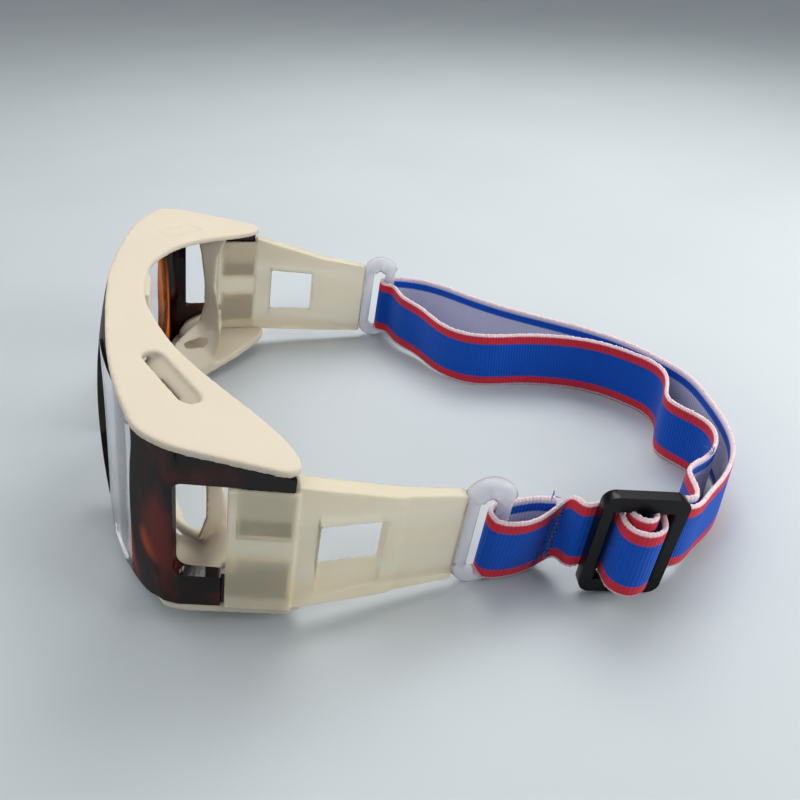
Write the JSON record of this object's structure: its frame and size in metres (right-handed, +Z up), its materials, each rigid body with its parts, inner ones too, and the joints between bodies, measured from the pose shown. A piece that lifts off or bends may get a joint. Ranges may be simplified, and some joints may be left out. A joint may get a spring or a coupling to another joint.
{
  "type": "sports protective goggles",
  "caption": "Strapped sports goggles with a one-piece front, soft face liner, springy temple arms with strap rings, and an elastic head strap with a slider.",
  "frame": {"origin": "middle of the underside of the overall box, on the table plane", "axes": "+X to the wearer's left, +Y from the lenses towards the back of the head strap, +Z up from the table"},
  "size_m": [0.1548, 0.1766, 0.0627],
  "materials": {
    "tortoise_plastic": "polished tortoiseshell, almost black with red-amber patches",
    "clear_lens": "clear hard-coated polycarbonate",
    "soft_liner": "soft matt cream",
    "frosted_arm": "frosted translucent, slightly yellow",
    "clear_ring": "cloudy clear, glossy",
    "webbing": "woven elastic, blue with red edges, white back",
    "black_plastic": "smooth black moulding"
  },
  "bodies": {
    "goggle_front": {"front_frame": "tortoise_plastic", "lens_left": "clear_lens", "lens_right": "clear_lens", "face_liner": "soft_liner", "elastic_strap": "webbing"},
    "left_arm": {"temple_arm_left": "frosted_arm", "strap_ring_left": "clear_ring"},
    "right_arm": {"temple_arm_right": "frosted_arm", "strap_ring_right": "clear_ring"},
    "slider": {"strap_slider": "black_plastic"}
  },
  "joints": [
    {"name": "left_arm_flex", "type": "hinge", "parent": "goggle_front", "child": "left_arm", "pos_m": [0.06472, -0.04776, 0.02499], "axis": [0, -0.1482, -0.989], "range_deg": [-5, 5], "stiffness_Nm_per_rad": 0.3, "deforming": ["elastic_strap"]},
    {"name": "right_arm_flex", "type": "hinge", "parent": "goggle_front", "child": "right_arm", "pos_m": [-0.07388, -0.04776, 0.02499], "axis": [0, 0.1482, 0.989], "range_deg": [-5, 5], "stiffness_Nm_per_rad": 0.3, "deforming": ["elastic_strap"]},
    {"name": "slider_slide", "type": "slide", "parent": "goggle_front", "child": "slider", "axis": [0.1556, 0.9823, -0.1045], "range_m": [-0.007, 0.0015], "deforming": ["elastic_strap"]}
  ]
}
